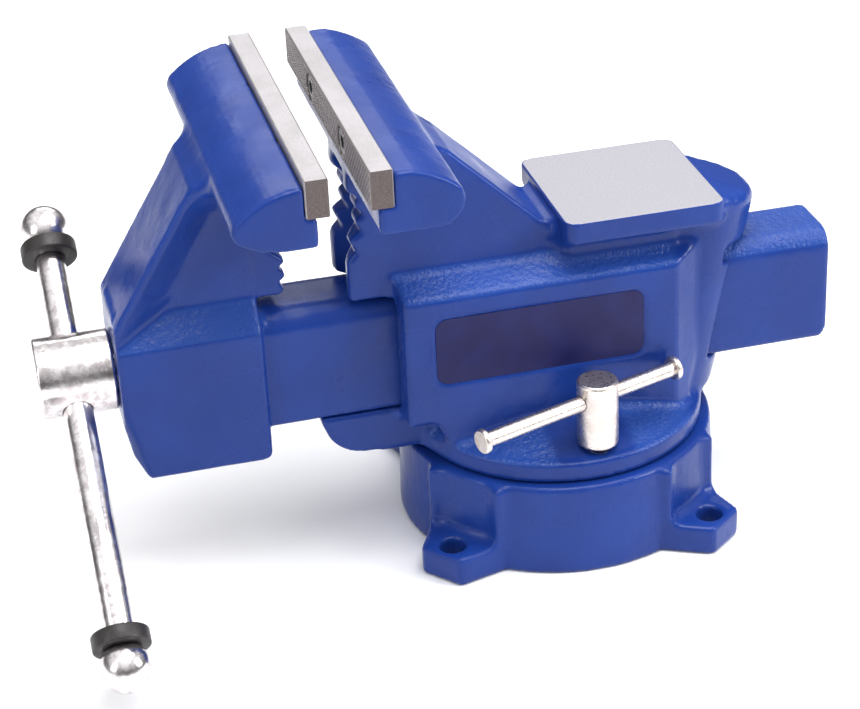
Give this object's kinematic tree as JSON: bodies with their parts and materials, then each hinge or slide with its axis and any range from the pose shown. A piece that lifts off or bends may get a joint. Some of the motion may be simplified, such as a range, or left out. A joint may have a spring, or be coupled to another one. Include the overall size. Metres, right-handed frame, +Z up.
{
  "type": "bench vise",
  "caption": "Swivel-base bench vise: fixed and sliding cast jaws with serrated steel plates, crank screw with sliding handle, anvil, pipe jaws, lock bolts with bars.",
  "frame": {"origin": "swivel axis where it meets the bench, at the middle of the four bolt-down lugs", "axes": "+Z up from the bench, -Y towards the handle and the way the jaws open, +X towards the near lock bolt and the label"},
  "size_m": [0.1871, 0.3253, 0.1934],
  "materials": {
    "casting": "blue gloss enamel over sand-cast iron",
    "jaw_steel": "ground hardened steel, warm grey",
    "screw_steel": "oiled dark steel",
    "plated_steel": "bright plated steel",
    "satin_nickel": "satin nickel plate",
    "ring_rubber": "dark grey rubber",
    "nut_bronze": "cast bronze",
    "label": "blank navy label"
  },
  "bodies": {
    "base": {"swivel_base": "casting"},
    "fixed_jaw": {"fixed_jaw_body": "casting", "fixed_jaw_plate": "jaw_steel", "fixed_plate_screws": "screw_steel", "main_nut": "nut_bronze", "nut_bolt": "screw_steel", "nut_bolt_washer": "screw_steel", "clamp_nut_near": "screw_steel", "clamp_nut_far": "screw_steel", "label_plate": "label"},
    "moving_jaw": {"moving_jaw_body": "casting", "moving_jaw_plate": "jaw_steel", "moving_plate_screws": "screw_steel", "thrust_washer": "screw_steel"},
    "main_screw": {"main_screw": "plated_steel", "takeup_spring": "screw_steel", "retaining_collar": "screw_steel", "collar_pin": "screw_steel"},
    "handle": {"handle_rod": "plated_steel", "handle_ball_upper": "plated_steel", "handle_ball_lower": "plated_steel", "handle_ring_upper": "ring_rubber", "handle_ring_lower": "ring_rubber"},
    "lock_bolt_near": {"lock_bolt_near": "satin_nickel"},
    "lock_bolt_far": {"lock_bolt_far": "satin_nickel"},
    "lock_bar_near": {"lock_bar_near": "satin_nickel"},
    "lock_bar_far": {"lock_bar_far": "satin_nickel"}
  },
  "joints": [
    {"name": "swivel", "type": "hinge", "parent": "base", "child": "fixed_jaw", "pos_m": [0, 0, 0.04], "axis": [0, 0, 1], "continuous": true},
    {"name": "jaw_slide", "type": "slide", "parent": "fixed_jaw", "child": "moving_jaw", "axis": [0, -1, 0], "range_m": [-0.0143, 0.125]},
    {"name": "screw_turn", "type": "hinge", "parent": "moving_jaw", "child": "main_screw", "pos_m": [0, -0.18, 0.0909], "axis": [0, -1, 0], "range_deg": [-1029.6, 9000]},
    {"name": "handle_slide", "type": "slide", "parent": "main_screw", "child": "handle", "axis": [0.8181, 0, -0.575], "range_m": [-0.093, 0.036]},
    {"name": "lock_turn_near", "type": "hinge", "parent": "fixed_jaw", "child": "lock_bolt_near", "pos_m": [0.051, 0.003, 0.066], "axis": [0, 0, 1], "range_deg": [-29, 0]},
    {"name": "lock_bar_slide_near", "type": "slide", "parent": "lock_bolt_near", "child": "lock_bar_near", "axis": [0.3338, -0.9426, 0], "range_m": [0, 0.028]},
    {"name": "lock_turn_far", "type": "hinge", "parent": "fixed_jaw", "child": "lock_bolt_far", "pos_m": [-0.051, -0.003, 0.066], "axis": [0, 0, 1], "range_deg": [-29, 0]},
    {"name": "lock_bar_slide_far", "type": "slide", "parent": "lock_bolt_far", "child": "lock_bar_far", "axis": [-0.3338, 0.9426, 0], "range_m": [0, 0.028]}
  ],
  "couplings": [
    {"joint": "jaw_slide", "follows": "screw_turn", "m_per_rad": 0.00079577}
  ]
}
